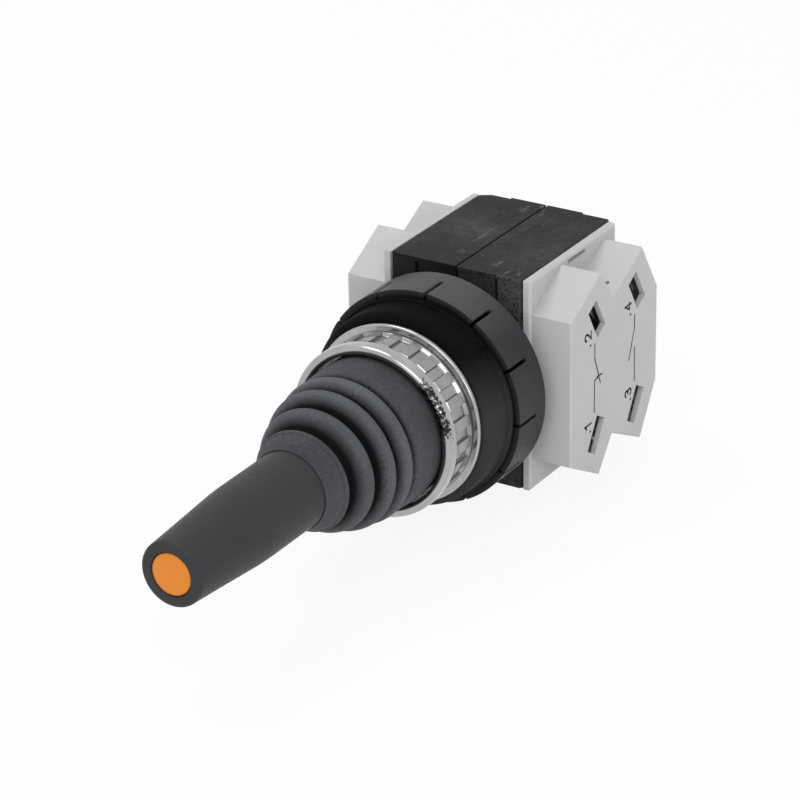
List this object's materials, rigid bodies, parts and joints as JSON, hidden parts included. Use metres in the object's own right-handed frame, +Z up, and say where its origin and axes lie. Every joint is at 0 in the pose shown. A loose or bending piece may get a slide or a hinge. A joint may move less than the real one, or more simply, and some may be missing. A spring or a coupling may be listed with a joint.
{
  "type": "industrial joystick",
  "caption": "Panel-mounted joystick: ribbed boot, tapered lever with a push button in its tip, chrome front ring nut, slotted rear nut, split body with grey contact blocks at its sides.",
  "frame": {"origin": "centre of the panel hole, where the rear ring nut's front face meets the gasket", "axes": "+X towards the right-hand contact block, -Y out along the lever, +Z up"},
  "size_m": [0.0544, 0.1448, 0.048],
  "materials": {
    "body_plastic": "satin",
    "bush_metal": "satin",
    "gasket_rubber": "matte",
    "boot_rubber": "matte",
    "bright_chrome": "polished",
    "grip_plastic": "satin",
    "button_orange": "gloss",
    "inner_plastic": "matte",
    "steel": "satin",
    "block_grey": "satin",
    "contact_brass": "satin"
  },
  "bodies": {
    "housing": {"body_left_half": "body_plastic", "body_right_half": "body_plastic", "threaded_bush": "bush_metal", "rear_ring_nut": "body_plastic", "panel_gasket": "gasket_rubber", "front_ring_nut": "bright_chrome", "boot": "boot_rubber", "body_screws": "steel", "gimbal_pins": "steel", "x_centring_springs": "steel", "z_centring_springs": "steel", "right_base_plate": "block_grey", "right_cover": "block_grey", "right_block_screws": "steel", "right_terminal_screws": "steel", "right_terminal_clamps": "steel", "right_fixed_contacts": "contact_brass", "right_front_spring": "steel", "right_rear_spring": "steel", "left_base_plate": "block_grey", "left_cover": "block_grey", "left_block_screws": "steel", "left_terminal_screws": "steel", "left_terminal_clamps": "steel", "left_fixed_contacts": "contact_brass", "left_front_spring": "steel", "left_rear_spring": "steel"},
    "cradle": {"gimbal_ring": "steel"},
    "lever": {"lever_shaft": "steel", "lever_pin": "steel", "lever_grip": "grip_plastic", "tip_switch": "inner_plastic", "button_spring": "steel"},
    "button": {"tip_button": "button_orange"},
    "x_shuttle_body": {"x_shuttle": "inner_plastic"},
    "z_shuttle_body": {"z_shuttle": "inner_plastic"},
    "right_front_plunger_body": {"right_front_plunger": "inner_plastic", "right_front_bridge": "contact_brass"},
    "right_rear_plunger_body": {"right_rear_plunger": "inner_plastic", "right_rear_bridge": "contact_brass"},
    "left_front_plunger_body": {"left_front_plunger": "inner_plastic", "left_front_bridge": "contact_brass"},
    "left_rear_plunger_body": {"left_rear_plunger": "inner_plastic", "left_rear_bridge": "contact_brass"}
  },
  "joints": [
    {"name": "tilt_up_down", "type": "hinge", "parent": "housing", "child": "cradle", "pos_m": [0, 0.012, 0], "axis": [1, 0, 0], "range_deg": [-12, 12], "stiffness_Nm_per_rad": 4, "deforming": ["boot", "z_centring_springs"]},
    {"name": "tilt_left_right", "type": "hinge", "parent": "cradle", "child": "lever", "pos_m": [0, 0.012, 0], "axis": [0, 0, 1], "range_deg": [-12, 12], "stiffness_Nm_per_rad": 4, "deforming": ["boot", "x_centring_springs"]},
    {"name": "button_press", "type": "slide", "parent": "lever", "child": "button", "axis": [0, 1, 0], "range_m": [0, 0.002], "stiffness_N_per_m": 600, "springref_m": -0.002, "deforming": ["button_spring"]},
    {"name": "x_shuttle_slide", "type": "slide", "parent": "housing", "child": "x_shuttle_body", "axis": [1, 0, 0], "range_m": [-0.002, 0.002]},
    {"name": "z_shuttle_slide", "type": "slide", "parent": "housing", "child": "z_shuttle_body", "axis": [0, 0, 1], "range_m": [-0.00437, 0.00437]},
    {"name": "right_front_plunger_slide", "type": "slide", "parent": "housing", "child": "right_front_plunger_body", "axis": [1, 0, 0], "range_m": [-0.002, 0.002], "deforming": ["right_front_spring"]},
    {"name": "right_rear_plunger_slide", "type": "slide", "parent": "housing", "child": "right_rear_plunger_body", "axis": [1, 0, 0], "range_m": [-0.00153, 0.00153], "deforming": ["right_rear_spring"]},
    {"name": "left_front_plunger_slide", "type": "slide", "parent": "housing", "child": "left_front_plunger_body", "axis": [1, 0, 0], "range_m": [-0.002, 0.002], "deforming": ["left_front_spring"]},
    {"name": "left_rear_plunger_slide", "type": "slide", "parent": "housing", "child": "left_rear_plunger_body", "axis": [1, 0, 0], "range_m": [-0.00153, 0.00153], "deforming": ["left_rear_spring"]}
  ],
  "couplings": [
    {"joint": "x_shuttle_slide", "follows": "tilt_left_right", "m_per_rad": -0.00953},
    {"joint": "z_shuttle_slide", "follows": "tilt_up_down", "m_per_rad": 0.020847},
    {"joint": "right_front_plunger_slide", "follows": "tilt_left_right", "m_per_rad": -0.00953},
    {"joint": "right_rear_plunger_slide", "follows": "tilt_up_down", "m_per_rad": -0.0072964},
    {"joint": "left_front_plunger_slide", "follows": "tilt_left_right", "m_per_rad": -0.00953},
    {"joint": "left_rear_plunger_slide", "follows": "tilt_up_down", "m_per_rad": -0.0072964}
  ]
}
